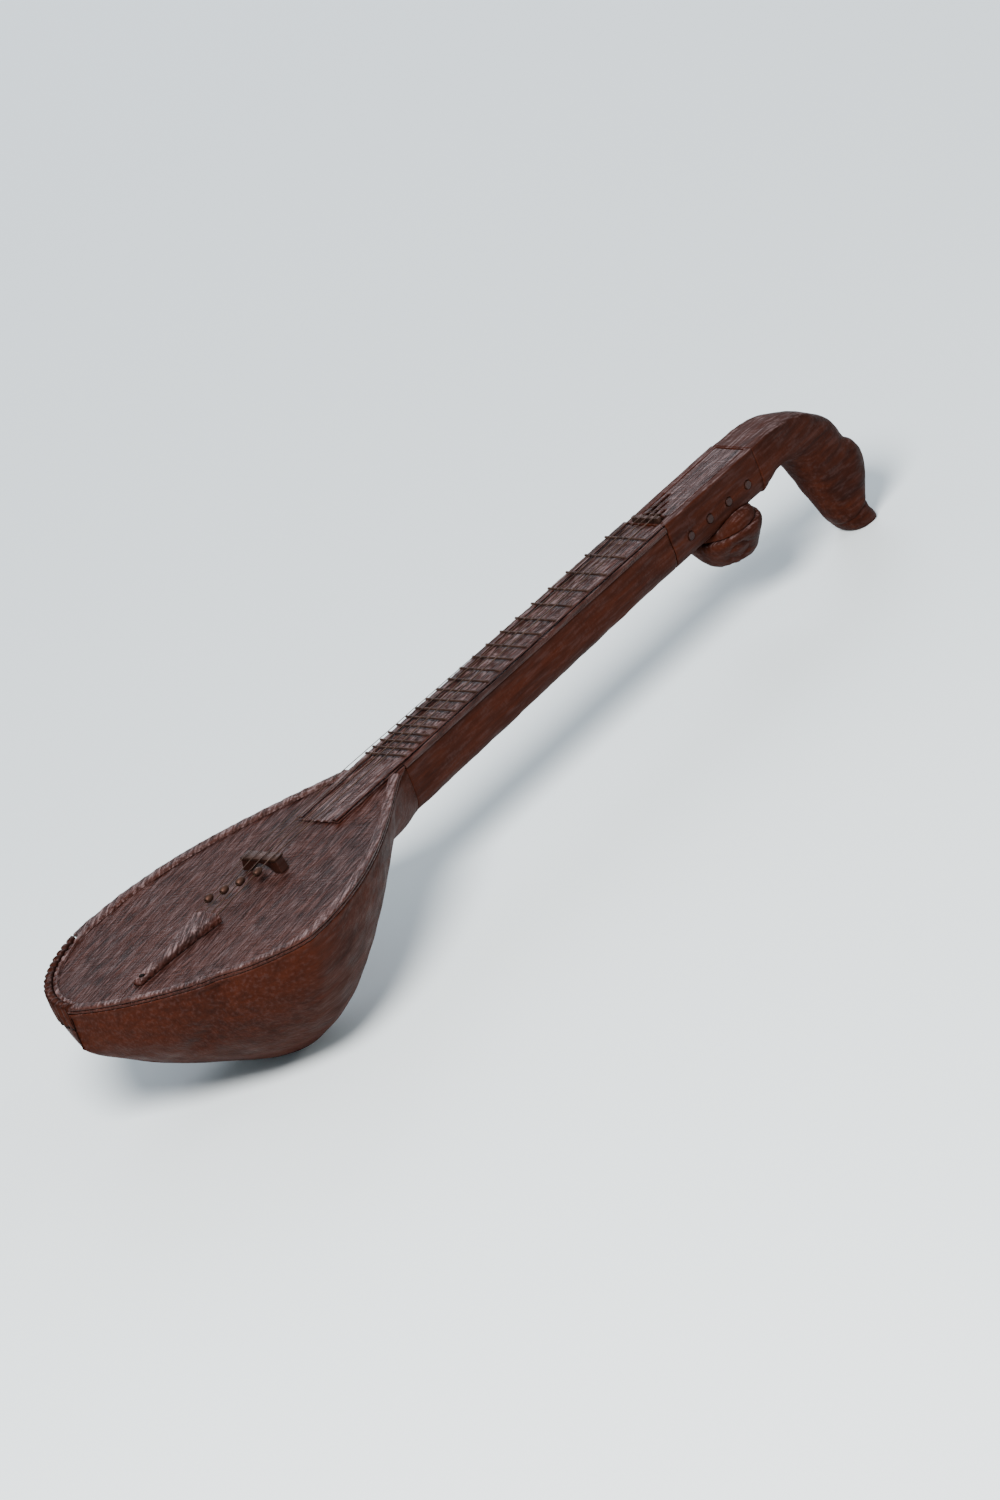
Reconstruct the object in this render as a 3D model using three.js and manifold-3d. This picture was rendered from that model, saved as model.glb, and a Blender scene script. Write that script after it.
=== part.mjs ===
// A plucked lute of the veena and sitar family, carved from dark wood, at full size.
// Millimetres, +Z up. X runs along the neck from the tail to the curled head, Y is across,
// and Z = 0 is the surface that the bowl and the snout of the head rest on.
import * as THREE from 'three';
import { mergeVertices } from 'three/addons/utils/BufferGeometryUtils.js';
import Module from 'manifold-3d';

// ---- driving dimensions ----
const LENGTH = 1200; // tail tip to forehead of the head
const TOP = 168; // height of the fretboard and of the top of the neck
const GAP = 0.3; // kept between pieces that touch

const TAIL_X = -LENGTH / 2;
const BODY_END_X = -140; // where the bowl meets the neck
const WIDEST_X = -442;
const BODY_HALF = 152; // half of the body's greatest width
const TAIL_POWER = 1.6; // roundness of the tail's outline
const SHOULDER_POWER = 0.65; // how early the shoulders swell from the neck
const TAIL_SWEEP = 54; // how far the tail's tip is swept sideways
const KEEL_X = -408; // where the bowl is deepest
const BOWL_DEPTH = 173; // at the keel, before the flat is cut
const TAIL_DEPTH = 50; // of the blunt tail end
const TAIL_CURVE = 1.2; // how fast the bowl deepens from the tail
const SHOULDER_CURVE = 2.6; // how late it deepens from the neck
const BOWL_ROUNDNESS = 1.85;
const NECK_ROUNDNESS = 4.5;
const SHOULDER_BLEND = 65; // length over which one roundness becomes the other
const SHELL_WALL = 14;
const SHELL_FLOOR = 12;
const CAVITY_END_X = -205;

const NECK_HALF = 28.5;
const NECK_DEPTH = 62; // at the body
const PEGBOX_DEPTH = 54;
const NECK_END_X = 300;
const PEGBOX_END_X = 446;
const RIM_TOP = TOP - 8; // top of the bowl and of the hollow neck
const BOARD_TOP = TOP - 3; // top of the soundboard
const RIM_WIDTH = 14;
const RIM_HEIGHT = 0.5; // above the top of the neck
const LIP_WIDTH = 8;
const LIP_HEIGHT = 28;
const LIP_RISE = 2; // above the top of the neck
const LIP_END_X = -472;
const TONGUE_X = -250; // where the fretboard ends on the soundboard
const CHANNEL_HALF = 14; // hollow of the neck
const CHANNEL_DEPTH = 40;
const MORTISE_LENGTH = 46; // of the neck's block in the bowl

const NUT_X = 304.5;
const BRIDGE_X = -335;
const LEDGE_HEIGHT = 2.6;
const LEDGE_WIDTH = 8;
const FRET_COUNT = 20;
const FRET_HEIGHT = 1.6;
const NUT_TOP = TOP + 6.2;
const NUT_HALF_DEPTH = 2.5;
const NUT_HALF_WIDTH = 19;
const BRIDGE_TOP = TOP + 13.5;
const BRIDGE_HALF_DEPTH = 7; // of its plate, along the strings
const BRIDGE_HALF_WIDTH = 24;
const BRIDGE_PLATE = 2.5; // thickness of its plate
const STRING_RADIUS = 0.7;
const STRING_COUNT = 4;
const NUT_SPACING = 9;
const BRIDGE_SPACING = 12;
const TAILPIECE_SPACING = 10;
const TAILPIECE_X = -430; // front edge, where the strings end
const TAILPIECE_TOP = TOP + 8;
const TAIL_PIN_X = -538;
const TAIL_PIN_RADIUS = 3;
const BEAD_X = [-362, -378, -392, -406];

const PEG_RADIUS = 4.5;
const PEG_Z = TOP - 30;
const PEG_PITCH = 32;
const FIRST_PEG_X = 328;
const PEGBOX_HALF = 16; // hollow of the pegbox
const PEGBOX_FLOOR = TOP - 46;
const LID_FRONT_X = 318;
const LID_AXIS_X = 441.5;
const LID_THICKNESS = 4.2;
const LID_HALF = 19.5;
const LID_PIN_RADIUS = 1.2;
const SLOT_SPARE = 1.4; // room on each side of a string in the lid's slots
const DOWEL_RADIUS = 6;
const DOWEL_Z = TOP - 30;

const GOURD_X = 394;
const GOURD_TOP = TOP - 60.3;
const GOURD_BOTTOM = TOP - 100;
const GOURD_RADIUS = 43;
const SADDLE_RADIUS = 38;
const STUD_RADIUS = 7;

const wasm = await Module();
wasm.setup();

// ---- materials ----
const COLOURS = {
  carved: [0x4a261f, 0.5, 0],
  inner: [0x6a4a35, 0.8, 0],
  dark: [0x2c1713, 0.45, 0],
  bronze: [0x5a4632, 0.4, 0.9],
};
const object = new THREE.Group();

function add(name, geometry, finish) {
  const [color, roughness, metalness] = COLOURS[finish];
  const mesh = new THREE.Mesh(geometry, new THREE.MeshStandardMaterial({ color, roughness, metalness }));
  mesh.name = name;
  object.add(mesh);
  return mesh;
}

// ---- solids ----
function solidOf(geometry) {
  const bare = geometry.clone();
  bare.deleteAttribute('normal');
  bare.deleteAttribute('uv');
  const merged = mergeVertices(bare, 1e-4);
  const mesh = new wasm.Mesh({
    numProp: 3,
    vertProperties: new Float32Array(merged.attributes.position.array),
    triVerts: new Uint32Array(merged.index.array),
  });
  return new wasm.Manifold(mesh);
}

function geometryOf(solid) {
  const mesh = solid.getMesh();
  const geometry = new THREE.BufferGeometry();
  geometry.setAttribute('position', new THREE.BufferAttribute(mesh.vertProperties, 3));
  geometry.setIndex(new THREE.BufferAttribute(mesh.triVerts, 1));
  geometry.computeVertexNormals();
  return geometry;
}

function cut(geometry, ...tools) {
  return geometryOf(tools.reduce((solid, tool) => solid.subtract(solidOf(tool)), solidOf(geometry)));
}

function join(geometry, ...others) {
  return geometryOf(others.reduce((solid, other) => solid.add(solidOf(other)), solidOf(geometry)));
}

function box(x0, x1, y0, y1, z0, z1) {
  const geometry = new THREE.BoxGeometry(x1 - x0, y1 - y0, z1 - z0);
  return geometry.translate((x0 + x1) / 2, (y0 + y1) / 2, (z0 + z1) / 2);
}

// A closed solid through rings of equal point counts, with a fan at each end.
function loft(rings) {
  const count = rings[0].length;
  const positions = rings.flat().flatMap((point) => point.toArray());
  const index = [];
  for (let i = 0; i + 1 < rings.length; i += 1) {
    for (let j = 0; j < count; j += 1) {
      const a = i * count + j;
      const b = i * count + ((j + 1) % count);
      index.push(a, b, b + count, a, b + count, a + count);
    }
  }
  for (const [ring, flip] of [[0, true], [rings.length - 1, false]]) {
    const centre = new THREE.Vector3();
    rings[ring].forEach((point) => centre.addScaledVector(point, 1 / count));
    const middle = positions.length / 3;
    positions.push(...centre.toArray());
    for (let j = 0; j < count; j += 1) {
      const a = ring * count + j;
      const b = ring * count + ((j + 1) % count);
      index.push(...(flip ? [b, a, middle] : [a, b, middle]));
    }
  }
  const geometry = new THREE.BufferGeometry();
  geometry.setAttribute('position', new THREE.Float32BufferAttribute(positions, 3));
  geometry.setIndex(signedVolume(positions, index) > 0 ? index : index.reverse());
  geometry.computeVertexNormals();
  return geometry;
}

function signedVolume(positions, index) {
  const corner = (k) => new THREE.Vector3().fromArray(positions, 3 * index[k]);
  let sum = 0;
  for (let k = 0; k < index.length; k += 3) {
    sum += corner(k).dot(corner(k + 1).cross(corner(k + 2)));
  }
  return sum;
}

// Extrusions of a flat outline: upwards, across (outline in X, Z) and along (outline in Y, Z).
function plate(shape, z0, z1) {
  const geometry = new THREE.ExtrudeGeometry(shape, { depth: z1 - z0, bevelEnabled: false });
  return geometry.translate(0, 0, z0);
}

function slab(shape, y0, y1, curveSegments = 6) {
  const options = { depth: y1 - y0, bevelEnabled: false, curveSegments };
  return new THREE.ExtrudeGeometry(shape, options).rotateX(Math.PI / 2).translate(0, y1, 0);
}

function beam(shape, x0, x1, curveSegments = 8) {
  const options = { depth: x1 - x0, bevelEnabled: false, curveSegments };
  const geometry = new THREE.ExtrudeGeometry(shape, options);
  return geometry.rotateX(Math.PI / 2).rotateZ(Math.PI / 2).translate(x0, 0, 0);
}

function shapeOf(points) {
  return new THREE.Shape(points.map(([u, v]) => new THREE.Vector2(u, v)));
}

// A turned solid about +Z at (x, 0), from [radius, height] points that begin and end on the axis.
function turned(points, x = 0, segments = 24) {
  const profile = points.map(([radius, height]) => new THREE.Vector2(radius, height));
  return new THREE.LatheGeometry(profile, segments).rotateX(Math.PI / 2).translate(x, 0, 0);
}

function rodUp(x, radius, z0, z1) {
  return turned([[0, z0], [radius, z0], [radius, z1], [0, z1]], x, 20);
}

function rodAlong(radius, x0, x1, z) {
  const geometry = new THREE.CylinderGeometry(radius, radius, x1 - x0, 20);
  return geometry.rotateZ(Math.PI / 2).translate((x0 + x1) / 2, 0, z);
}

function rodAcross(radius, y0, y1, x, z) {
  return new THREE.CylinderGeometry(radius, radius, y1 - y0, 20).translate(x, (y0 + y1) / 2, z);
}

// ---- body outline ----
const smooth = (t) => t * t * (3 - 2 * t);

// Stations along the body, closer together where the tail turns.
function stations(inset, endX = BODY_END_X) {
  const shoulder = 12;
  const tail = 14;
  const list = [];
  for (let i = 0; i < shoulder; i += 1) {
    list.push(endX + ((WIDEST_X - endX) * i) / shoulder);
  }
  for (let i = 0; i <= tail; i += 1) {
    const turn = (Math.PI / 2) * (i / tail);
    list.push(WIDEST_X - (WIDEST_X - TAIL_X - inset) * Math.sin(turn) ** (2 / TAIL_POWER));
  }
  return list;
}

function halfWidth(x, inset) {
  if (x < WIDEST_X) {
    const u = Math.min(1, (WIDEST_X - x) / (WIDEST_X - TAIL_X - inset));
    return Math.max(2, (BODY_HALF - inset) * (1 - u ** TAIL_POWER) ** (1 / TAIL_POWER));
  }
  const t = Math.max(0, (BODY_END_X - x) / (BODY_END_X - WIDEST_X));
  return NECK_HALF - inset + (BODY_HALF - NECK_HALF) * smooth(t ** SHOULDER_POWER);
}

function sweep(x) {
  const start = WIDEST_X + 4;
  return x < start ? TAIL_SWEEP * ((start - x) / (start - TAIL_X)) ** 1.3 : 0;
}

function depth(x) {
  if (x < KEEL_X) {
    const u = (KEEL_X - x) / (KEEL_X - TAIL_X);
    return TAIL_DEPTH + (BOWL_DEPTH - TAIL_DEPTH) * Math.max(0, 1 - u ** TAIL_CURVE) ** (1 / TAIL_CURVE);
  }
  const t = Math.max(0, (BODY_END_X - x) / (BODY_END_X - KEEL_X));
  return NECK_DEPTH + (BOWL_DEPTH - NECK_DEPTH) * Math.sin((Math.PI / 2) * t) ** SHOULDER_CURVE;
}

function outline(inset, endX = BODY_END_X) {
  const near = stations(inset, endX).map((x) => [x, sweep(x) - halfWidth(x, inset)]);
  const far = stations(inset, endX).map((x) => [x, sweep(x) + halfWidth(x, inset)]);
  return shapeOf([...near.reverse(), ...far]);
}

// ---- body ----
function hull(inset, floor, rise, endX) {
  const arc = 22;
  const base = RIM_TOP;
  const rings = stations(inset, endX).map((x) => {
    const blend = smooth(Math.min(1, (BODY_END_X - x) / SHOULDER_BLEND));
    const power = 2 / (NECK_ROUNDNESS + (BOWL_ROUNDNESS - NECK_ROUNDNESS) * blend);
    const half = halfWidth(x, inset);
    const drop = depth(x) - (TOP - base) - floor;
    const ring = [];
    for (let j = 0; j <= arc; j += 1) {
      const turn = (Math.PI * j) / arc;
      const side = -Math.sign(Math.cos(turn)) * Math.abs(Math.cos(turn)) ** power;
      ring.push(new THREE.Vector3(x, sweep(x) + half * side, base - drop * Math.sin(turn) ** power));
    }
    if (rise > 0) {
      ring.push(new THREE.Vector3(x, sweep(x) + half, base + rise));
      ring.push(new THREE.Vector3(x, sweep(x) - half, base + rise));
    }
    return ring;
  });
  return loft(rings);
}

// The far side of the tail carries a lip that stands in a rebate of the other pieces.
function lip(outerInset, innerInset, endX, z0, z1, spare = 0) {
  const far = (inset) => {
    const edge = stations(inset).filter((x) => x < endX);
    const points = edge.map((x) => [x, sweep(x) + halfWidth(x, inset)]);
    const [tipX, tipY] = points[points.length - 1];
    return [...points, [tipX, tipY - spare]];
  };
  return plate(shapeOf([...far(outerInset), ...far(innerInset).reverse()]), z0, z1);
}

const lipRebate = () => lip(-4, LIP_WIDTH + 2 * GAP, LIP_END_X + 6, TOP - LIP_HEIGHT - GAP, TOP + 10, 2);

const tailPinHole = () => rodUp(TAIL_PIN_X, TAIL_PIN_RADIUS + GAP, TOP - 60, TOP + 20);

function makeBody() {
  const cavity = hull(SHELL_WALL, SHELL_FLOOR, 6, CAVITY_END_X);
  const mortise = box(BODY_END_X - MORTISE_LENGTH, BODY_END_X + 5, -CHANNEL_HALF, CHANNEL_HALF,
    TOP - CHANNEL_DEPTH, TOP + 5);
  const floorCut = box(TAIL_X, 0, -BODY_HALF, BODY_HALF, -20, 0);
  add('bowl', cut(hull(0, 0, 0), floorCut, cavity, mortise, lipRebate()), 'carved');

  const board = plate(outline(0), RIM_TOP + GAP, BOARD_TOP);
  add('soundboard', cut(board, lipRebate(), tailPinHole()), 'carved');

  const tongueHalf = NECK_HALF + 0.9;
  const ring = cut(plate(outline(0), BOARD_TOP + GAP, TOP + RIM_HEIGHT),
    plate(outline(RIM_WIDTH, BODY_END_X - 20), BOARD_TOP, TOP + 1),
    box(TONGUE_X - 1, BODY_END_X + 1, -tongueHalf, tongueHalf, BOARD_TOP, TOP + 1),
    box(BODY_END_X - 20, BODY_END_X + 1, -60, 60, BOARD_TOP, TOP + 1),
    lipRebate());
  add('rim_binding', ring, 'carved');

  add('tail_lip', lip(0, LIP_WIDTH, LIP_END_X, TOP - LIP_HEIGHT, TOP + LIP_RISE, GAP), 'carved');
}

function makeInside() {
  const under = RIM_TOP - GAP;
  add('upper_brace', box(-262, -250, -56, 56, under - 14, under), 'inner');
  add('lower_brace', box(-476, -462, -108, 122, under - 16, under), 'inner');
  const block = box(-552, -515, -14, 44, under - 30, under);
  add('tail_block', cut(block, tailPinHole()), 'inner');
  add('neck_block', box(BODY_END_X - MORTISE_LENGTH + 1, BODY_END_X + 80,
    -CHANNEL_HALF + GAP, CHANNEL_HALF - GAP, TOP - CHANNEL_DEPTH + GAP, under), 'inner');
}

// ---- neck ----
// The U of the neck as [y, z] points: straight sides, and a rounded underside.
function neckPoints(half, top, bottom) {
  const steps = 16;
  const points = [];
  for (let j = 0; j <= steps; j += 1) {
    const turn = (Math.PI * j) / steps;
    const side = -Math.sign(Math.cos(turn)) * Math.abs(Math.cos(turn)) ** (2 / NECK_ROUNDNESS);
    points.push([half * side, top - (top - bottom) * Math.sin(turn) ** (2 / NECK_ROUNDNESS)]);
  }
  return points;
}

const neckSection = (half, top, bottom) => shapeOf(neckPoints(half, top, bottom));

function makeNeck() {
  const ends = [[BODY_END_X + GAP, NECK_DEPTH], [NECK_END_X, PEGBOX_DEPTH]];
  const stem = loft(ends.map(([x, deep]) => neckPoints(NECK_HALF - 1, RIM_TOP, TOP - deep)
    .map(([y, z]) => new THREE.Vector3(x, y, z))));
  const channel = box(BODY_END_X - 5, NECK_END_X - 30, -CHANNEL_HALF, CHANNEL_HALF,
    TOP - CHANNEL_DEPTH, TOP);
  const dowelHole = rodAlong(DOWEL_RADIUS + GAP, NECK_END_X - 20.5, NECK_END_X + 5, DOWEL_Z);
  add('neck', cut(stem, channel, dowelHole), 'carved');

  const end = NECK_END_X - GAP;
  const profile = shapeOf([[TONGUE_X, BOARD_TOP + GAP], [BODY_END_X + GAP, BOARD_TOP + GAP],
    [BODY_END_X + GAP, RIM_TOP + GAP], [end, RIM_TOP + GAP], [end, TOP], [TONGUE_X, TOP]]);
  add('fretboard', slab(profile, -NECK_HALF - 0.5, NECK_HALF + 0.5), 'carved');

  for (const [name, side] of [['ledge_near', -1], ['ledge_far', 1]]) {
    const outer = side * NECK_HALF;
    const inner = side * (NECK_HALF - LEDGE_WIDTH);
    const [y0, y1] = [Math.min(outer, inner), Math.max(outer, inner)];
    add(name, box(TONGUE_X, end, y0, y1, TOP + GAP, TOP + LEDGE_HEIGHT), 'carved');
  }
}

function makeFrets() {
  const base = TOP + LEDGE_HEIGHT + GAP;
  for (let k = 1; k <= FRET_COUNT; k += 1) {
    const x = BRIDGE_X + (NUT_X - BRIDGE_X) * 2 ** (-k / 12);
    const profile = shapeOf([[x - 1.6, base], [x + 1.6, base], [x + 1.2, base + 0.75 * FRET_HEIGHT],
      [x + 0.5, base + FRET_HEIGHT], [x - 0.5, base + FRET_HEIGHT], [x - 1.2, base + 0.75 * FRET_HEIGHT]]);
    const name = `fret_${String(k).padStart(2, '0')}`;
    add(name, slab(profile, -NECK_HALF + 0.5, NECK_HALF - 0.5), 'bronze');
  }
}

// ---- pegbox ----
const pegX = (k) => FIRST_PEG_X + PEG_PITCH * k;

function makePegbox() {
  const blank = beam(neckSection(NECK_HALF, TOP, TOP - PEGBOX_DEPTH), NECK_END_X + GAP, PEGBOX_END_X);
  const tools = [
    box(NUT_X + 4, 432, -PEGBOX_HALF, PEGBOX_HALF, PEGBOX_FLOOR, TOP + 5),
    box(LID_FRONT_X - GAP, LID_AXIS_X + LID_THICKNESS / 2 + 0.5, -LID_HALF - GAP, LID_HALF + GAP,
      TOP - LID_THICKNESS - 2 * GAP, TOP + 5),
    rodAcross(LID_PIN_RADIUS + GAP, -23.5, 23.5, LID_AXIS_X, TOP - GAP - LID_THICKNESS / 2),
    rodAlong(DOWEL_RADIUS + GAP, NECK_END_X - 5, NECK_END_X + 6.5, DOWEL_Z),
    rodAlong(DOWEL_RADIUS + GAP, PEGBOX_END_X - 12.5, PEGBOX_END_X + 5, DOWEL_Z),
    rodUp(GOURD_X, STUD_RADIUS + GAP, TOP - PEGBOX_DEPTH - 5, TOP - PEGBOX_DEPTH + 4.5),
  ];
  for (let k = 0; k < STRING_COUNT; k += 1) {
    tools.push(rodAcross(PEG_RADIUS + 0.4, -NECK_HALF - 5, NECK_HALF + 5, pegX(k), PEG_Z));
  }
  add('pegbox', cut(blank, ...tools), 'carved');
  add('pegbox_dowel', rodAlong(DOWEL_RADIUS, NECK_END_X - 20, NECK_END_X + 6, DOWEL_Z), 'inner');
  add('head_dowel', rodAlong(DOWEL_RADIUS, PEGBOX_END_X - 12, PEGBOX_END_X + 24, DOWEL_Z), 'inner');
}

// The strings of the three farther pegs go down through slots in the front of the lid.
function stringSlots() {
  const under = TOP - GAP - LID_THICKNESS;
  return [1, 2, 3].map((k) => {
    const [, , nut, peg] = stringPoints(k);
    const t = (nut.z - under + 2 * lift) / (nut.z - peg.z);
    const end = nut.clone().lerp(peg, t);
    const low = Math.min(nut.y, end.y) - SLOT_SPARE;
    const high = Math.max(nut.y, end.y) + SLOT_SPARE;
    return box(LID_FRONT_X - 5, end.x, low, high, under - 5, TOP + 5);
  });
}

function makeLid() {
  const radius = LID_THICKNESS / 2;
  const axisZ = TOP - GAP - radius;
  const profile = new THREE.Shape();
  profile.moveTo(LID_AXIS_X, axisZ - radius);
  profile.absarc(LID_AXIS_X, axisZ, radius, -Math.PI / 2, Math.PI / 2);
  profile.lineTo(LID_FRONT_X, axisZ + radius);
  profile.lineTo(LID_FRONT_X, axisZ - radius);
  const bore = new THREE.Path();
  bore.absarc(LID_AXIS_X, axisZ, LID_PIN_RADIUS + GAP, 0, 2 * Math.PI, true);
  profile.holes.push(bore);
  add('pegbox_lid', cut(slab(profile, -LID_HALF, LID_HALF, 10), ...stringSlots()), 'carved');
  add('lid_pin', rodAcross(LID_PIN_RADIUS, -23, 23, LID_AXIS_X, axisZ), 'bronze');
}

// A peg lies across the pegbox: shaft, collar and a flat thumb piece on the far side.
function makePegs() {
  const thumbTurn = [0.35, -0.25, 0.15, -0.4];
  for (let k = 0; k < STRING_COUNT; k += 1) {
    const profile = [[0, -NECK_HALF], [PEG_RADIUS, -NECK_HALF], [PEG_RADIUS, 30], [7.5, 30], [7.5, 32],
      [5, 35], [4, 42], [0, 42]];
    const points = profile.map(([radius, along]) => new THREE.Vector2(radius, along));
    const shaft = new THREE.LatheGeometry(points, 16);
    const thumb = new THREE.SphereGeometry(1, 14, 10).scale(11, 12.5, 4.2).translate(0, 49.5, 0);
    thumb.rotateY(thumbTurn[k]);
    add(`peg_${k + 1}`, join(shaft, thumb).translate(pegX(k), 0, PEG_Z), 'dark');
  }
}

// ---- strings ----
// A path of straight runs, with a ring of the tube at each corner.
class StringPath extends THREE.Curve {
  constructor(points) {
    super();
    this.points = points;
  }

  getPoint(t) {
    const runs = this.points.length - 1;
    const run = Math.min(runs - 1, Math.floor(t * runs + 1e-9));
    return this.points[run].clone().lerp(this.points[run + 1], t * runs - run);
  }

  getPointAt(u) {
    return this.getPoint(u);
  }

  getTangentAt(u) {
    const step = 1e-3;
    const after = this.getPoint(Math.min(1, u + step));
    return after.sub(this.getPoint(Math.max(0, u - step))).normalize();
  }
}

const lift = GAP + STRING_RADIUS;
const across = (k, spacing) => (k - (STRING_COUNT - 1) / 2) * spacing;

function stringPoints(k) {
  return [
    new THREE.Vector3(TAILPIECE_X + GAP, across(k, TAILPIECE_SPACING), TAILPIECE_TOP - 3),
    new THREE.Vector3(BRIDGE_X - BRIDGE_HALF_DEPTH, across(k, BRIDGE_SPACING), BRIDGE_TOP + lift),
    new THREE.Vector3(NUT_X + NUT_HALF_DEPTH + lift, across(k, NUT_SPACING), NUT_TOP + lift),
    new THREE.Vector3(pegX(k), across(k, NUT_SPACING) * 0.8, PEG_Z + PEG_RADIUS + lift),
  ];
}

function makeStrings() {
  const section = new THREE.Shape();
  section.absarc(0, 0, STRING_RADIUS, 0, 2 * Math.PI);
  for (let k = 0; k < STRING_COUNT; k += 1) {
    const points = stringPoints(k);
    const extrudePath = new StringPath(points);
    const options = { steps: points.length - 1, curveSegments: 4, extrudePath };
    add(`string_${k + 1}`, new THREE.ExtrudeGeometry(section, options), 'bronze');
  }
}

// Tuning beads slide on the strings between the bridge and the tailpiece.
function makeBeads() {
  for (let k = 0; k < STRING_COUNT; k += 1) {
    const [tail, bridge] = stringPoints(k);
    const direction = bridge.clone().sub(tail).normalize();
    const centre = tail.clone().addScaledVector(direction, (BEAD_X[k] - tail.x) / direction.x);
    const profile = [[1.1, -5], [2.6, -5], [4.2, -2.4], [4.2, 2.4], [2.6, 5], [1.1, 5], [1.1, -5]];
    const bead = new THREE.LatheGeometry(profile.map(([r, h]) => new THREE.Vector2(r, h)), 14);
    const mesh = add(`bead_${k + 1}`, bead, 'bronze');
    mesh.quaternion.setFromUnitVectors(new THREE.Vector3(0, 1, 0), direction);
    mesh.position.copy(centre);
  }
}

function makeBridge() {
  const base = BOARD_TOP + GAP;
  const foot = new THREE.Shape();
  foot.moveTo(-27, base);
  foot.lineTo(-17, base);
  foot.quadraticCurveTo(0, base + 20, 17, base);
  foot.lineTo(27, base);
  foot.lineTo(BRIDGE_HALF_WIDTH, BRIDGE_TOP - BRIDGE_PLATE - GAP);
  foot.lineTo(-BRIDGE_HALF_WIDTH, BRIDGE_TOP - BRIDGE_PLATE - GAP);
  add('bridge_foot', beam(foot, BRIDGE_X - 6, BRIDGE_X + 6), 'dark');
  add('bridge_plate', box(BRIDGE_X - BRIDGE_HALF_DEPTH, BRIDGE_X + BRIDGE_HALF_DEPTH,
    -BRIDGE_HALF_WIDTH, BRIDGE_HALF_WIDTH, BRIDGE_TOP - BRIDGE_PLATE, BRIDGE_TOP), 'bronze');
  add('nut', box(NUT_X - NUT_HALF_DEPTH, NUT_X + NUT_HALF_DEPTH, -NUT_HALF_WIDTH, NUT_HALF_WIDTH,
    TOP + GAP, NUT_TOP), 'bronze');
}

// The tailpiece is a ridge that widens and rises from its pin towards the bridge.
function makeTailpiece() {
  const base = BOARD_TOP + GAP;
  const rows = [[-549, 4.5, 3], [-544, 6.5, 5.5], [-520, 8, 6.2], [-490, 10, 7.4], [-460, 14, 9],
    [-440, 18, TAILPIECE_TOP - base - 0.8], [TAILPIECE_X, 19.5, TAILPIECE_TOP - base]];
  const section = [[-1, 0], [-0.97, 0.5], [-0.8, 0.86], [-0.45, 1],
    [0.45, 1], [0.8, 0.86], [0.97, 0.5], [1, 0]];
  const rings = rows.map(([x, half, height]) => section
    .map(([side, rise]) => new THREE.Vector3(x, half * side, base + height * rise)));
  add('tailpiece', cut(loft(rings), tailPinHole()), 'carved');
  const head = base + 6.2;
  add('tail_pin', turned([[0, TOP - 46], [TAIL_PIN_RADIUS, TOP - 46], [TAIL_PIN_RADIUS, head - 0.6],
    [TAIL_PIN_RADIUS - 0.6, head], [0, head]], TAIL_PIN_X, 16), 'dark');
}

// ---- second gourd ----
function makeGourd() {
  const neck = beam(neckSection(NECK_HALF + GAP, TOP + GAP, TOP - PEGBOX_DEPTH - GAP), 300, 480);
  const top = GOURD_TOP + GAP;
  const rim = SADDLE_RADIUS;
  const dome = [[0, top], [rim, top], [rim - 0.5, top + 4], [rim - 3, top + 9], [rim - 7, top + 13],
    [rim - 11, top + 16], [0, top + 16]];
  const hole = rodUp(GOURD_X, STUD_RADIUS + GAP, top - 5, top + 40);
  add('gourd_saddle', cut(turned(dome, GOURD_X, 32), neck, hole), 'carved');
  add('gourd_stud', rodUp(GOURD_X, STUD_RADIUS, GOURD_TOP - 14, TOP - PEGBOX_DEPTH + 4), 'inner');

  const bore = STUD_RADIUS + GAP;
  const outer = [[0, GOURD_BOTTOM], [17, GOURD_BOTTOM], [23, GOURD_BOTTOM + 2], [29, GOURD_BOTTOM + 7],
    [35, GOURD_BOTTOM + 16], [40.5, GOURD_BOTTOM + 26], [GOURD_RADIUS, GOURD_TOP - 7],
    [GOURD_RADIUS - 0.8, GOURD_TOP - 2], [GOURD_RADIUS - 3.5, GOURD_TOP]];
  const inner = [[bore, GOURD_TOP], [bore, GOURD_TOP - 6], [GOURD_RADIUS - 9, GOURD_TOP - 7],
    [33, GOURD_BOTTOM + 22], [24, GOURD_BOTTOM + 10], [16, GOURD_BOTTOM + 6.5], [0, GOURD_BOTTOM + 6]];
  add('second_gourd', turned([...outer, ...inner], GOURD_X, 28), 'carved');
}

// ---- head ----
// Each row is a slice of the curled head: a point on its back, a point on its throat side,
// both as [x, height below the top], and its half width and roundness.
const HEAD_ROWS = [
  [[446.3, 0], [446.3, -54], 28.5, 4.2],
  [[464, 0], [458, -52], 28.5, 3.8],
  [[484, -1], [470, -49], 28.3, 3.2],
  [[507, -4], [482, -47.5], 27.8, 3],
  [[531, -12], [492, -49], 27, 2.8],
  [[553, -25], [500, -54], 26, 2.6],
  [[570, -42], [506, -62], 25.5, 2.5],
  [[580, -58], [510, -71], 25, 2.5],
  [[585, -73], [513, -81], 24.5, 2.5],
  [[594, -82], [516, -89], 25.5, 2.5],
  [[600, -96], [519, -101], 26, 2.5],
  [[598.5, -111], [523, -114], 25.5, 2.4],
  [[590, -126], [527, -127], 24.5, 2.4],
  [[583, -140], [531, -139], 23, 2.4],
  [[581, -152], [536, -149], 22, 2.4],
  [[586, -163], [542, -158], 21.5, 2.4],
  [[587, -170], [548, -166], 19, 2.4],
  [[581, -175], [558, -172], 13, 2.2],
];

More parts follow.
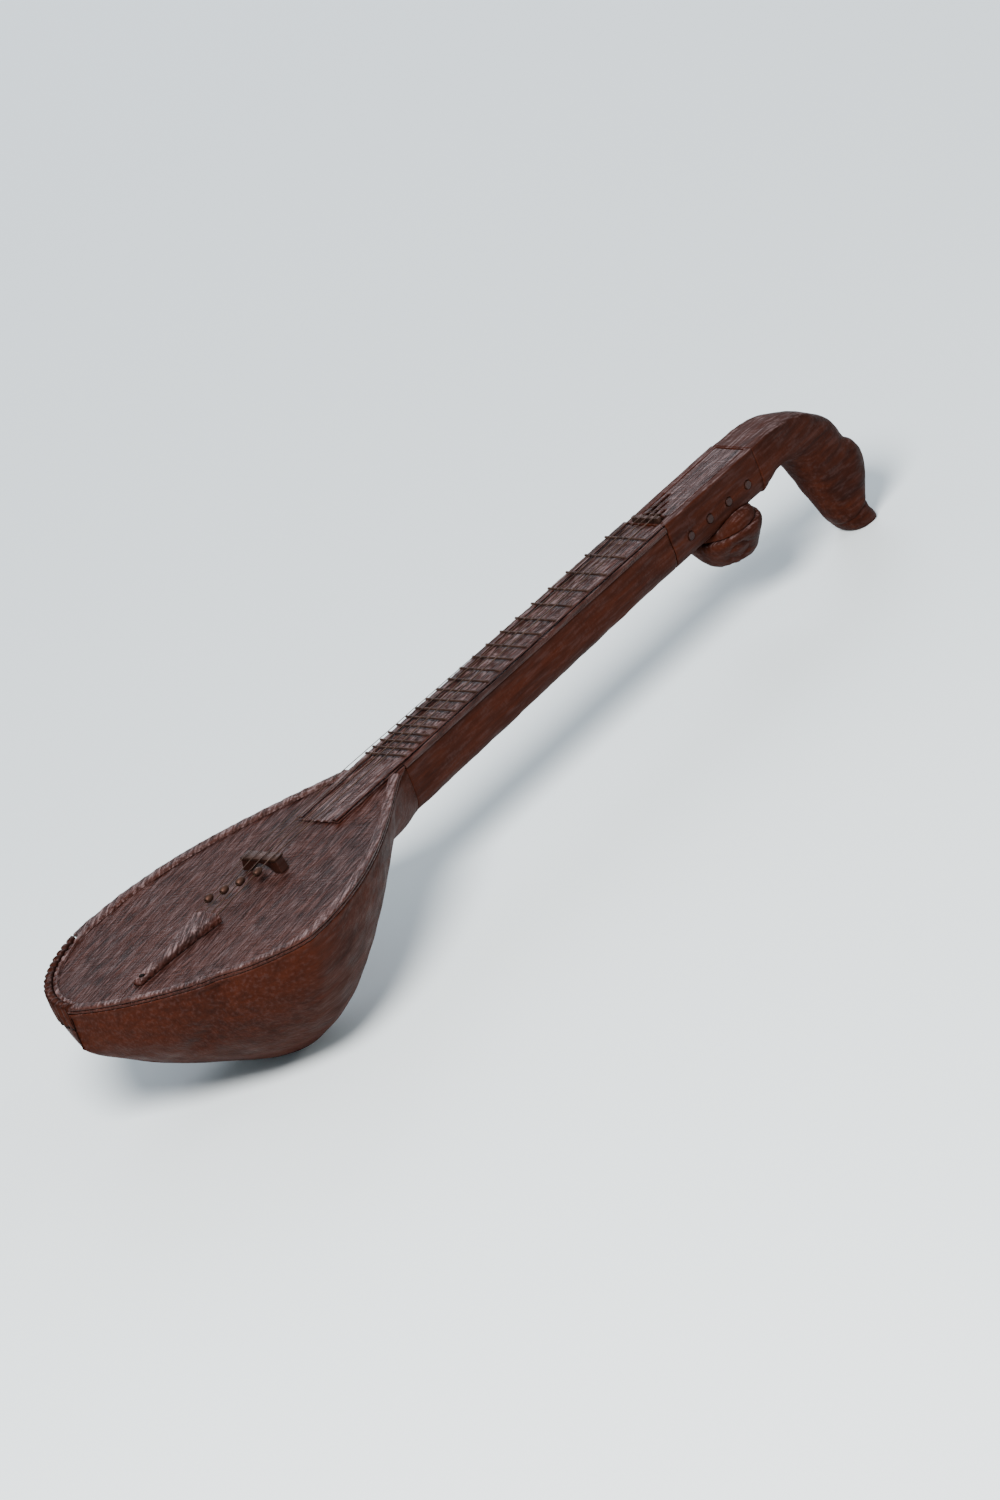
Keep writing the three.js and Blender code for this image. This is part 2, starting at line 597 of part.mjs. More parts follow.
function makeHead() {
  const sides = 24;
  const rings = HEAD_ROWS.map(([back, throat, half, roundness]) => {
    const centre = new THREE.Vector3((back[0] + throat[0]) / 2, 0, TOP + (back[1] + throat[1]) / 2);
    const arm = new THREE.Vector3(back[0] - throat[0], 0, back[1] - throat[1]).multiplyScalar(0.5);
    return Array.from({ length: sides }, (_, j) => {
      const turn = (2 * Math.PI * j) / sides;
      const bend = (value) => Math.sign(value) * Math.abs(value) ** (2 / roundness);
      const point = centre.clone().addScaledVector(arm, bend(Math.cos(turn)));
      return point.setY(half * bend(Math.sin(turn)));
    });
  });
  const floorCut = box(500, 620, -40, 40, -20, 0);
  const dowelHole = rodAlong(DOWEL_RADIUS + GAP, PEGBOX_END_X - 5, PEGBOX_END_X + 24.5, DOWEL_Z);
  add('head', cut(loft(rings), floorCut, dowelHole), 'carved');
}

makeBody();
makeInside();
makeNeck();
makeFrets();
makePegbox();
makeLid();
makePegs();
makeStrings();
makeBeads();
makeBridge();
makeTailpiece();
makeGourd();
makeHead();

export default object;
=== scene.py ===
"""Looks of a carved long-necked lute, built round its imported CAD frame.

Shapes are worked out in millimetres in the frame's own coordinates and become metres when a mesh is
made. X runs along the neck from the tail to the head, Y is across and Z is up out of the soundboard.
"""
import math

import bmesh
import bpy
import numpy as np
from mathutils import Matrix, Vector


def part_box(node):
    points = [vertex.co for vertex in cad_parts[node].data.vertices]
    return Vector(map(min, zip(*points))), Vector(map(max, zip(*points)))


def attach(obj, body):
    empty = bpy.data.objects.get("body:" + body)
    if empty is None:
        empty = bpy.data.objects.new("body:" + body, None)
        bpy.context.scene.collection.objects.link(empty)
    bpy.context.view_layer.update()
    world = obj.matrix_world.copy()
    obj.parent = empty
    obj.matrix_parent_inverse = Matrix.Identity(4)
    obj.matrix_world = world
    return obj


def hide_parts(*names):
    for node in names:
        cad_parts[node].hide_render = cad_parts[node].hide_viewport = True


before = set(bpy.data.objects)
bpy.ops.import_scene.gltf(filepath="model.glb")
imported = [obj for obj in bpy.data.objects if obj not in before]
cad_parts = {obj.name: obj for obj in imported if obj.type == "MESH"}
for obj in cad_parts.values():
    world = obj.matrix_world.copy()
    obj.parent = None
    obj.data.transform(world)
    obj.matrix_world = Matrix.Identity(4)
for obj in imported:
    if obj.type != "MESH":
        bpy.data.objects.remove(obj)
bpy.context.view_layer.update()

MM = 0.001
ROOT = "instrument"


def span(node):
    """Lowest and highest corner of a CAD node, in millimetres."""
    low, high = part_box(node)
    return np.array(low) / MM, np.array(high) / MM


# ---- sizes read from the frame ----
TOP = span("fretboard")[1][2]
RIM_TOP = span("bowl")[1][2]
BOARD_TOP = span("soundboard")[1][2]
TAIL_X, BODY_END_X = span("bowl")[0][0], span("bowl")[1][0]
NECK_HALF = span("pegbox")[1][1]
NECK_DEPTH = TOP - span("neck")[0][2]
TONGUE_HALF = span("fretboard")[1][1] + 0.9
LIP_END_X = span("tail_lip")[1][0]
LIP_LOW = span("tail_lip")[0][2]

# ---- the body's outline, as in the CAD part ----
WIDEST_X = -442
BODY_HALF = 152
TAIL_POWER = 1.6
SHOULDER_POWER = 0.65
TAIL_SWEEP = 54
KEEL_X = -408
BOWL_DEPTH = 173
TAIL_DEPTH = 50
TAIL_CURVE = 1.2
SHOULDER_CURVE = 2.6
BOWL_ROUNDNESS = 1.85
NECK_ROUNDNESS = 4.5
SHOULDER_BLEND = 65
LIP_WIDTH = 8
RIM_WIDTH = 14


def smooth(t):
    """A soft step from 0 to 1 as t goes from 0 to 1."""
    t = np.clip(t, 0, 1)
    return t * t * (3 - 2 * t)


def sweep(x):
    """How far the outline's middle lies to the far side at x."""
    start = WIDEST_X + 4
    return TAIL_SWEEP * (np.maximum(start - x, 0) / (start - TAIL_X)) ** 1.3


def depth(x):
    """How far the bowl reaches below the top of the fretboard at x."""
    u = np.clip((KEEL_X - x) / (KEEL_X - TAIL_X), 0, 1)
    tail = TAIL_DEPTH + (BOWL_DEPTH - TAIL_DEPTH) * (1 - u**TAIL_CURVE) ** (1 / TAIL_CURVE)
    t = np.clip((BODY_END_X - x) / (BODY_END_X - KEEL_X), 0, 1)
    shoulder = NECK_DEPTH + (BOWL_DEPTH - NECK_DEPTH) * np.sin(math.pi / 2 * t) ** SHOULDER_CURVE
    return np.where(x < KEEL_X, tail, shoulder)


def edge(t, inset):
    """Station x and half width of the outline at t, from 0 at the neck to 1 at the tail's tip."""
    upper = np.clip(t / 0.5, 0, 1)
    turn = math.pi / 2 * np.clip((t - 0.5) / 0.5, 0, 1)
    x = BODY_END_X + (WIDEST_X - BODY_END_X) * upper
    x = x - (WIDEST_X - TAIL_X - inset) * np.sin(turn) ** (2 / TAIL_POWER)
    swell = NECK_HALF + (BODY_HALF - NECK_HALF) * smooth(upper**SHOULDER_POWER) - inset
    tail = (BODY_HALF - inset) * np.cos(turn) ** (2 / TAIL_POWER)
    return x, np.maximum(np.where(t < 0.5, swell, tail), 2)


def edge_half(x):
    """Half width of the outline at x."""
    u = np.clip((WIDEST_X - x) / (WIDEST_X - TAIL_X), 0, 1)
    tail = BODY_HALF * (1 - u**TAIL_POWER) ** (1 / TAIL_POWER)
    t = np.clip((BODY_END_X - x) / (BODY_END_X - WIDEST_X), 0, 1)
    swell = NECK_HALF + (BODY_HALF - NECK_HALF) * smooth(t**SHOULDER_POWER)
    return np.where(x < WIDEST_X, tail, swell)


# ---- noise ----
def wobble(points, size, seed):
    """Smooth noise of about -1 to 1 over points in millimetres, with bumps of about the given size."""
    rng = np.random.default_rng(seed)
    total = np.zeros(len(points))
    for _ in range(9):
        direction = rng.normal(size=3)
        direction *= 2 * math.pi * rng.uniform(0.6, 1.5) / (size * 2 * np.linalg.norm(direction))
        total += np.sin(points @ direction + rng.uniform(0, 2 * math.pi))
    return total / 3


# ---- meshes ----
def mesh_object(name, points, faces):
    mesh = bpy.data.meshes.new(name)
    mesh.from_pydata((np.asarray(points) * MM).tolist(), [], faces)
    mesh.update()
    piece = bpy.data.objects.new(name, mesh)
    bpy.context.scene.collection.objects.link(piece)
    face_out(piece)
    return piece


def face_out(piece):
    """Turns every face outwards."""
    work = bmesh.new()
    work.from_mesh(piece.data)
    bmesh.ops.recalc_face_normals(work, faces=work.faces)
    work.to_mesh(piece.data)
    work.free()


def ring_faces(rings, count):
    """Quads over rings of count points, with a cap on both ends."""
    faces = []
    for i in range(rings - 1):
        for j in range(count):
            a, b = i * count + j, i * count + (j + 1) % count
            faces.append((a, b, b + count, a + count))
    faces.append(tuple(range(count)))
    faces.append(tuple(range((rings - 1) * count, rings * count)))
    return faces


def loft(name, rings):
    rings = np.asarray(rings)
    return mesh_object(name, rings.reshape(-1, 3), ring_faces(len(rings), rings.shape[1]))


def points_of(piece):
    flat = np.empty(len(piece.data.vertices) * 3, np.float32)
    piece.data.vertices.foreach_get("co", flat)
    return flat.reshape(-1, 3).astype(float) / MM


def normals_of(piece):
    flat = np.empty(len(piece.data.vertices) * 3, np.float32)
    piece.data.vertices.foreach_get("normal", flat)
    return flat.reshape(-1, 3).astype(float)


def set_points(piece, points):
    piece.data.vertices.foreach_set("co", (points * MM).astype(np.float32).ravel())
    piece.data.update()


def apply_modifiers(piece):
    bpy.context.view_layer.update()
    graph = bpy.context.evaluated_depsgraph_get()
    result = bpy.data.meshes.new_from_object(piece.evaluated_get(graph))
    piece.modifiers.clear()
    piece.data = result


def cut(piece, *tools):
    """Cuts the tools out of the piece and removes them."""
    for tool in tools:
        boolean = piece.modifiers.new("cut", "BOOLEAN")
        boolean.operation = "DIFFERENCE"
        boolean.solver = "MANIFOLD"
        boolean.object = tool
    apply_modifiers(piece)
    for tool in tools:
        bpy.data.objects.remove(tool)


def box_tool(x0, x1, y0, y1, z0, z1):
    corners = [(x, y, z) for x in (x0, x1) for y in (y0, y1) for z in (z0, z1)]
    faces = [(0, 1, 3, 2), (4, 6, 7, 5), (0, 4, 5, 1), (2, 3, 7, 6), (0, 2, 6, 4), (1, 5, 7, 3)]
    return mesh_object("tool", corners, faces)


def copy_of(node, name):
    piece = bpy.data.objects.new(name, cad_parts[node].data.copy())
    bpy.context.scene.collection.objects.link(piece)
    return piece


def relax(piece, steps, keep=0.1):
    """Smooths a mesh but holds its sharp edges."""
    count = len(piece.data.edges)
    ends = np.empty(count * 2, np.int32)
    piece.data.edges.foreach_get("vertices", ends)
    a, b = ends.reshape(-1, 2).T
    points, normals = points_of(piece), normals_of(piece)
    bend = 1 - np.einsum("ij,ij->i", normals[a], normals[b])
    sharp = np.zeros(len(points))
    np.maximum.at(sharp, a, bend)
    np.maximum.at(sharp, b, bend)
    weight = np.clip(1 - (sharp - 0.035) / 0.12, keep, 1)[:, None]
    links = np.bincount(a, minlength=len(points)) + np.bincount(b, minlength=len(points))
    for step in range(2 * steps):
        total = np.zeros_like(points)
        for axis in range(3):
            total[:, axis] = np.bincount(a, points[b, axis], len(points))
            total[:, axis] += np.bincount(b, points[a, axis], len(points))
        pull = 0.5 if step % 2 == 0 else -0.51
        points += pull * weight * (total / links[:, None] - points)
    set_points(piece, points)


def carved(node, name, voxel, steps=12, relief=0.15, size=14.0, seed=1):
    """A copy of a CAD node with a fine even mesh, softened edges and the unevenness of hand carving."""
    piece = copy_of(node, name)
    remesh = piece.modifiers.new("remesh", "REMESH")
    remesh.mode = "VOXEL"
    remesh.voxel_size = voxel * MM
    apply_modifiers(piece)
    relax(piece, steps)
    uneven(piece, relief, size, seed)
    return piece


def uneven(piece, relief, size, seed):
    points = points_of(piece)
    lift = wobble(points, size, seed) + 0.5 * wobble(points, size / 3, seed + 50)
    set_points(piece, points + normals_of(piece) * (relief * (lift - 1.2))[:, None])


def bevelled(node, name, width, segments=3):
    """A copy of a CAD node with rounded edges."""
    piece = copy_of(node, name)
    weld = piece.modifiers.new("weld", "WELD")
    weld.merge_threshold = 0.01 * MM
    bevel = piece.modifiers.new("bevel", "BEVEL")
    bevel.width = width * MM
    bevel.segments = segments
    bevel.limit_method = "ANGLE"
    bevel.angle_limit = math.radians(35)
    apply_modifiers(piece)
    return piece


def finish_piece(piece, material, nodes=(), body=ROOT):
    """Gives a piece its look and its body, keeps it in the box of the CAD nodes that it stands for, and
    hides those nodes.
    """
    if nodes:
        low = np.min([span(node)[0] for node in nodes], axis=0)
        high = np.max([span(node)[1] for node in nodes], axis=0)
        set_points(piece, np.clip(points_of(piece), low, high))
    piece.data.materials.clear()
    piece.data.materials.append(material)
    piece.data.shade_smooth()
    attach(piece, body)
    if nodes:
        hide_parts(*nodes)
    return piece


# ---- materials ----
MIX_FIRST, MIX_SECOND, MIX_RESULT = 6, 7, 2  # colour sockets of a Mix node
NOISE_ROUGHNESS = 0.55

# bumps per metre along X, Y and Z
GRAIN = (9, 120, 120)
FIBRE = (30, 700, 700)
STROKE = (42, 400, 260)
CROSS_STROKE = (460, 60, 260)
RAW_GRAIN = (14, 200, 200)
WIRE_MARKS = (1600, 200, 200)
CAST_MARKS = (300, 300, 300)

CROSS_TURN = -12  # degrees from the first strokes to the cross strokes
MARK_DEPTH = 0.0045  # metres, like the next three
PORE_DEPTH = 0.0011
FIBRE_DEPTH = 0.0004
METAL_DEPTH = 0.0002


class Nodes:
    """A short way to write a material's nodes."""

    def __init__(self, name):
        self.material = bpy.data.materials.new(name)
        self.material.use_nodes = True
        self.tree = self.material.node_tree
        self.shader = self.tree.nodes["Principled BSDF"]

    def add(self, kind, inputs=None, **settings):
        node = self.tree.nodes.new(kind)
        for key, value in settings.items():
            setattr(node, key, value)
        for key, value in (inputs or {}).items():
            self.put(node.inputs[key], value)
        return node

    def put(self, socket, value):
        if isinstance(value, bpy.types.NodeSocket):
            self.tree.links.new(value, socket)
        else:
            socket.default_value = value

    def noise(self, scale, stretch=(1, 1, 1), detail=4.0, turn=0.0):
        """Noise with bumps per metre given along X, Y and Z, after a turn about Z in degrees."""
        place = self.add("ShaderNodeTexCoord").outputs["Object"]
        if turn:
            inputs = {"Vector": place, "Rotation": (0, 0, math.radians(turn))}
            place = self.add("ShaderNodeMapping", inputs).outputs["Vector"]
        mapping = self.add("ShaderNodeMapping", {"Vector": place, "Scale": stretch})
        inputs = {"Vector": mapping.outputs["Vector"], "Scale": scale, "Detail": detail,
                  "Roughness": NOISE_ROUGHNESS}
        return self.add("ShaderNodeTexNoise", inputs).outputs["Fac"]

    def ramp(self, value, stops):
        node = self.add("ShaderNodeValToRGB", {"Fac": value})
        elements = node.color_ramp.elements
        while len(elements) < len(stops):
            elements.new(0.5)
        for element, (place, colour) in zip(elements, stops):
            element.position = place
            element.color = (*colour, 1)
        return node.outputs["Color"]

    def level(self, value, low, high, out_low, out_high):
        return self.add("ShaderNodeMapRange", {"Value": value, "From Min": low, "From Max": high,
                                               "To Min": out_low, "To Max": out_high}).outputs["Result"]

    def mix(self, factor, first, tone):
        """A colour, with a plain tone over it where the factor is high."""
        node = self.add("ShaderNodeMix", data_type="RGBA")
        self.put(node.inputs["Factor"], factor)
        self.put(node.inputs[MIX_FIRST], first)
        self.put(node.inputs[MIX_SECOND], (*tone, 1))
        return node.outputs[MIX_RESULT]

    def maths(self, operation, first, second):
        node = self.add("ShaderNodeMath", operation=operation)
        self.put(node.inputs[0], first)
        self.put(node.inputs[1], second)
        return node.outputs[0]

    def bump(self, height, distance, strength=1.0, normal=None):
        inputs = {"Height": height, "Distance": distance, "Strength": strength}
        if normal is not None:
            inputs["Normal"] = normal
        return self.add("ShaderNodeBump", inputs).outputs["Normal"]


def tool_marks(n, turn):
    """Strokes of the carver's tool, and patches with strokes across them."""
    stroke = n.noise(1.0, STROKE, 2.5, turn)
    cross = n.noise(1.0, CROSS_STROKE, 2.5, turn + CROSS_TURN)
    patch = n.level(n.noise(24.0, (1, 1, 1), 2.0), 0.38, 0.62, 0.0, 0.55)
    second = n.maths("MULTIPLY", n.maths("SUBTRACT", cross, 0.5), patch)
    return n.maths("ADD", stroke, second)


def crests(n, marks):
    """High on the crests of the marks and low in their hollows."""
    return n.maths("ADD", n.level(marks, 0.53, 0.66, 0.0, 0.8), n.level(marks, 0.4, 0.55, 0.05, 0.2))


def facing_up(n):
    """High where the wood faces up when the instrument is at rest; it places the painted sheen."""
    normal = n.add("ShaderNodeTexCoord").outputs["Normal"]
    height = n.add("ShaderNodeSeparateXYZ", {"Vector": normal}).outputs["Z"]
    return n.level(height, 0.5, 0.92, 0.12, 1.0)


def carved_wood(name, tones, roughness, hatch, sheen_amount, gloss, turn=0):
    """Dark waxed wood with stretched grain, tool marks, worn edges with painted light, and dirt with
    painted shade in the hollows.

    A painted sheen, partly pale old wax, lightens the crests of the marks, most of all where the wood
    faces up.
    """
    dark, body, warm, worn_and_edge_light, wax_and_sheen = tones
    # tone for dirt with painted shade in the hollows of the tool marks
    darkening_tone = [0.3 * value for value in dark]
    # tone for grime with painted shade in concave creases and between parts
    grime_and_crevice_shade = [0.25 * value for value in dark]
    n = Nodes(name)
    grain = n.noise(1.0, GRAIN, 6.0)
    fibre = n.noise(1.0, FIBRE, 3.0)
    cloud = n.noise(16.0, (0.6, 1, 1), 5.0)
    blotch = n.noise(38.0, (0.5, 1, 1), 4.0)
    colour = n.ramp(grain, [(0.3, dark), (0.5, body), (0.72, warm)])
    colour = n.mix(n.level(fibre, 0.35, 0.7, 0.0, 0.35), colour, dark)
    colour = n.mix(n.level(cloud, 0.4, 0.72, 0.0, 0.55), colour, warm)
    colour = n.mix(n.level(blotch, 0.55, 0.75, 0.0, 0.3), colour, worn_and_edge_light)

    marks = tool_marks(n, turn)
    # painted sheen: paler crests of the marks on upward faces, partly wax and partly a painted highlight
    painted_sheen = n.maths("MULTIPLY", facing_up(n), n.maths("MULTIPLY", crests(n, marks), sheen_amount))
    colour = n.mix(painted_sheen, colour, wax_and_sheen)
    # dirt and painted shade: the hollows of the tool marks darkened
    colour = n.mix(n.level(marks, 0.47, 0.34, 0.0, hatch * 0.8), colour, darkening_tone)

    sharpness = n.add("ShaderNodeNewGeometry").outputs["Pointiness"]
    patchy = n.level(cloud, 0.3, 0.6, 0.3, 1.0)
    # painted edge highlight: sharp edges lightened, partly real wear and partly painted light
    rubbed_and_lit_edges = n.maths("MULTIPLY", n.level(sharpness, 0.515, 0.58, 0.0, 1.0), patchy)
    colour = n.mix(n.maths("MULTIPLY", rubbed_and_lit_edges, 0.3), colour, worn_and_edge_light)
    # grime and painted crevice shade: concave creases darkened nearly to black
    colour = n.mix(n.level(sharpness, 0.49, 0.44, 0.0, 0.85), colour, grime_and_crevice_shade)
    n.put(n.shader.inputs["Base Color"], colour)

    dull = n.noise(60.0, (0.4, 1, 1), 4.0)
    n.put(n.shader.inputs["Roughness"], n.level(dull, 0.3, 0.7, roughness - 0.09, roughness + 0.14))
    normal = n.bump(marks, MARK_DEPTH, hatch)
    normal = n.bump(fibre, FIBRE_DEPTH, 0.6, normal)
    normal = n.bump(n.noise(150.0, (0.35, 1, 1), 3.0), PORE_DEPTH, 0.5, normal)
    n.put(n.shader.inputs["Normal"], normal)
    n.shader.inputs["Specular IOR Level"].default_value = gloss
    return n.material


def aged_bronze(name, colour, darkening_tone, roughness, marks=CAST_MARKS):
    """Dull dark metal with tarnish and fine marks."""
    n = Nodes(name)
    cloud = n.noise(90.0, (1, 1, 1), 5.0)
    fine = n.noise(700.0, (1, 1, 1), 3.0)
    mixed = n.mix(n.level(cloud, 0.4, 0.68, 0.0, 0.85), (*colour, 1), darkening_tone)
    n.put(n.shader.inputs["Base Color"], mixed)
    n.put(n.shader.inputs["Roughness"], n.level(fine, 0.3, 0.7, roughness - 0.08, roughness + 0.15))
    n.put(n.shader.inputs["Normal"], n.bump(n.noise(1.0, marks, 2.0), METAL_DEPTH, 0.6))
    n.shader.inputs["Metallic"].default_value = 0.85
    return n.material


def raw_wood(name):
    """Unfinished wood of the pieces inside."""
    n = Nodes(name)
    grain = n.noise(1.0, RAW_GRAIN, 6.0)
    tones = n.ramp(grain, [(0.3, (0.14, 0.07, 0.035)), (0.7, (0.3, 0.17, 0.09))])
    n.put(n.shader.inputs["Base Color"], tones)
    n.put(n.shader.inputs["Normal"], n.bump(grain, 0.0006, 0.6))
    n.put(n.shader.inputs["Roughness"], n.level(grain, 0.3, 0.7, 0.7, 0.9))
    return n.material


# tones of the wood: deep, middle, warm, worn (also painted edge light) and waxed (also painted sheen)
TOP_TONES = [(0.009, 0.0028, 0.002), (0.024, 0.0062, 0.0042), (0.042, 0.0105, 0.0058),
             (0.065, 0.019, 0.0115), (0.15, 0.098, 0.096)]
SIDE_TONES = [(0.014, 0.0034, 0.0018), (0.025, 0.0052, 0.0021), (0.041, 0.0082, 0.0028),
              (0.05, 0.0125, 0.0055), (0.12, 0.078, 0.076)]
DARK_TONES = [(0.006, 0.0024, 0.0018), (0.014, 0.0044, 0.003), (0.024, 0.007, 0.0042),
              (0.045, 0.014, 0.008), (0.05, 0.03, 0.028)]
WOOD_TOP = carved_wood("carved_top", TOP_TONES, 0.44, hatch=0.8, sheen_amount=0.36, gloss=0.08, turn=-7)
WOOD_NECK = carved_wood("carved_neck_top", TOP_TONES, 0.44, hatch=0.7, sheen_amount=0.85, gloss=0.12)
WOOD_RIM = carved_wood("carved_rim", TOP_TONES, 0.42, hatch=0.6, sheen_amount=0.9, gloss=0.1, turn=-25)
WOOD_SIDE = carved_wood("carved_side", SIDE_TONES, 0.52, hatch=0.14, sheen_amount=0.8, gloss=0.035)
WOOD_DARK = carved_wood("turned_dark", DARK_TONES, 0.4, hatch=0.1, sheen_amount=0.0, gloss=0.16)
BLACK_TONES = [(0.001, 0.0008, 0.0008), (0.002, 0.0013, 0.0011), (0.0035, 0.002, 0.0016),
               (0.006, 0.003, 0.002), (0.004, 0.003, 0.003)]
WOOD_BLACK = carved_wood("black_pin", BLACK_TONES, 0.6, hatch=0.1, sheen_amount=0.0, gloss=0.05)
BRONZE = aged_bronze("aged_bronze", (0.06, 0.028, 0.019), (0.02, 0.008, 0.006), 0.55)
WIRE = aged_bronze("drawn_wire", (0.09, 0.05, 0.034), (0.035, 0.017, 0.012), 0.5, WIRE_MARKS)
RAW = raw_wood("raw_wood")


# ---- bowl ----
CREASE_X = -522  # where a soft crease parts the tail from the rest of the bowl
CREASE_DEPTH = 3.6
CREASE_WIDTH = 9
NOTCH_DEPTH = 4.2
SHELL_WALL = 14
SHELL_FLOOR = 12
SIDE_TRIM = 1.2  # how far the bowl's sides are drawn in under the rim
MORTISE_HALF = 14
MORTISE_LENGTH = 46
MORTISE_DEPTH = 40


def notch(points):
    """Draws the near edge in a little where the crease meets the rim."""
    x, y, z = points.T
    near = smooth((sweep(x) - edge_half(x) + 16 - y) / 12)
    high = smooth((z - RIM_TOP + 20) / 15)
    points[:, 1] += NOTCH_DEPTH * np.exp(-(((x - CREASE_X) / CREASE_WIDTH) ** 2)) * near * high


def hull_rings(inset, floor, rise, t_start, steps, arc, trim=0.0):
    """Rings of the bowl's hull, set in from the outline and up from its floor.

    With a rise, each ring goes on above the bowl's edge, so that the hull cuts it open.
    """
    rings = []
    for t in np.linspace(t_start, 1, steps):
        x, half = edge(np.array(t), inset)
        blend = smooth((BODY_END_X - x) / SHOULDER_BLEND)
        power = 2 / (NECK_ROUNDNESS + (BOWL_ROUNDNESS - NECK_ROUNDNESS) * blend)
        drop = depth(x) - (TOP - RIM_TOP) - floor
        turn = np.linspace(0, math.pi, arc)
        side = -np.sign(np.cos(turn)) * np.abs(np.cos(turn)) ** power
        y = sweep(x) + (half - trim) * side
        z = RIM_TOP - drop * np.sin(turn) ** power
        ring = np.stack([np.full(arc, x), y, z], 1)
        if rise:
            lid = [[x, sweep(x) + half, RIM_TOP + rise], [x, sweep(x) - half, RIM_TOP + rise]]
            ring = np.vstack([ring, lid])
        rings.append(ring)
    return rings


def lip_path(inset, end_x):
    """Points along the far edge of the tail."""
    t = np.linspace(0.5, 1, 80)
    x, half = edge(t, inset)
    keep = x < end_x
    return np.stack([x, sweep(x) + half], 1)[keep]


def lip_tool():
    """The rebate that the tail's lip stands in."""
    outer, inner = lip_path(-4, LIP_END_X + 3), lip_path(LIP_WIDTH + 0.5, LIP_END_X + 3)
    loop = np.vstack([outer, outer[-1] - (0, 2), inner[-1] - (0, 2), inner[::-1]])
    low, high = LIP_LOW - 0.3, TOP + 10
    rings = [np.column_stack([loop, np.full(len(loop), z)]) for z in (low, high)]
    return loft("tool", rings)


def make_bowl():
    piece = loft("carved_bowl", hull_rings(0, 0, 0, 0.0, 230, 150, trim=SIDE_TRIM))
    points = points_of(piece)
    normals = normals_of(piece)
    x, y, z = points.T
    from_crease = x - CREASE_X - 0.2 * (z - RIM_TOP)
    crease = CREASE_DEPTH * np.exp(-((from_crease / CREASE_WIDTH) ** 2)) * smooth((z - 45) / 60)
    crease *= y < sweep(x)
    uneven_by = 0.7 * (wobble(points, 46, 3) - 1) + 0.22 * (wobble(points, 13, 4) - 1)
    side = smooth((RIM_TOP - z) / 8)
    points = points + normals * ((uneven_by - crease) * side)[:, None]
    notch(points)
    points[:, 2] = np.clip(points[:, 2], 0, RIM_TOP)
    set_points(piece, points)
    cavity = loft("tool", hull_rings(SHELL_WALL, SHELL_FLOOR, 6, 0.14, 60, 40))
    mortise = box_tool(BODY_END_X - MORTISE_LENGTH, BODY_END_X + 5, -MORTISE_HALF, MORTISE_HALF,
                       TOP - MORTISE_DEPTH, TOP + 5)
    cut(piece, cavity, mortise, lip_tool())
    finish_piece(piece, WOOD_SIDE, ["bowl"])


LIP_FLUTES = 15
LIP_GROOVE = 4.5
RIM_GROOVE = 2.2


def flutes(t):
    """How deep the grooves of the fluted lip are at t on the far side, from 0 to 1."""
    table = np.linspace(0.5, 1, 700)
    x, half = edge(table, 0)
    length = np.concatenate([[0], np.cumsum(np.hypot(np.diff(x), np.diff(half)))])
    start = np.interp(-LIP_END_X, -x, length)
    phase = (np.interp(t, table, length) - start) / (length[-1] - start) * LIP_FLUTES
    fade = smooth(np.minimum(phase, LIP_FLUTES - phase) * 3)
    return fade * (1 - np.abs(np.sin(math.pi * phase)) ** 0.7)


def rim_sections():
    """The raised rim's profile, swept round the outline from the near shoulder to the far one."""
    low, high = span("rim_binding")[0][2], span("rim_binding")[1][2]
    profile = [(0, low), (0, high - 1.3), (0.5, high - 0.5), (1.6, high), (6, high), (11, high - 0.2),
               (12, high - 0.7), (12.7, high - 2.2), (13.6, high - 2.8),
               (RIM_WIDTH, low + 0.3), (RIM_WIDTH - 0.2, low)]
    t_start = 0.5 * 20 / (BODY_END_X - WIDEST_X)
    walk = np.linspace(t_start, 1, 520)
    sections = []
    for side, steps in ((-1, walk), (1, walk[::-1])):
        for t in steps:
            x0, half = edge(np.array(t), 0)
            room = np.clip((half - TONGUE_HALF) / RIM_WIDTH, 0.03, 1) if x0 > -300 else 1.0
            start = LIP_WIDTH + 0.6 if side > 0 else 0.0
            start *= smooth((LIP_END_X + 6 - x0) / 4)
            section = []
            groove = RIM_GROOVE * flutes(t) if side > 0 else 0
            for u, z in profile:
                z = max(z - groove * (1 - u / RIM_WIDTH), low)
                inset = (start + u * (RIM_WIDTH - start) / RIM_WIDTH) * room
                x, w = edge(np.array(t), inset)
                section.append((x, sweep(x) + side * w, z))
            sections.append(section)
    return sections


def make_rim():
    piece = loft("raised_rim", rim_sections())
    points = points_of(piece)
    lift = 0.3 * (wobble(points, 30, 8) - 1) + 0.28 * (wobble(points, 5, 9) - 1.3)
    top = smooth((points[:, 2] - BOARD_TOP) / 2)
    points[:, 2] += lift * top
    notch(points)
    set_points(piece, points)
    finish_piece(piece, WOOD_RIM, ["rim_binding"])


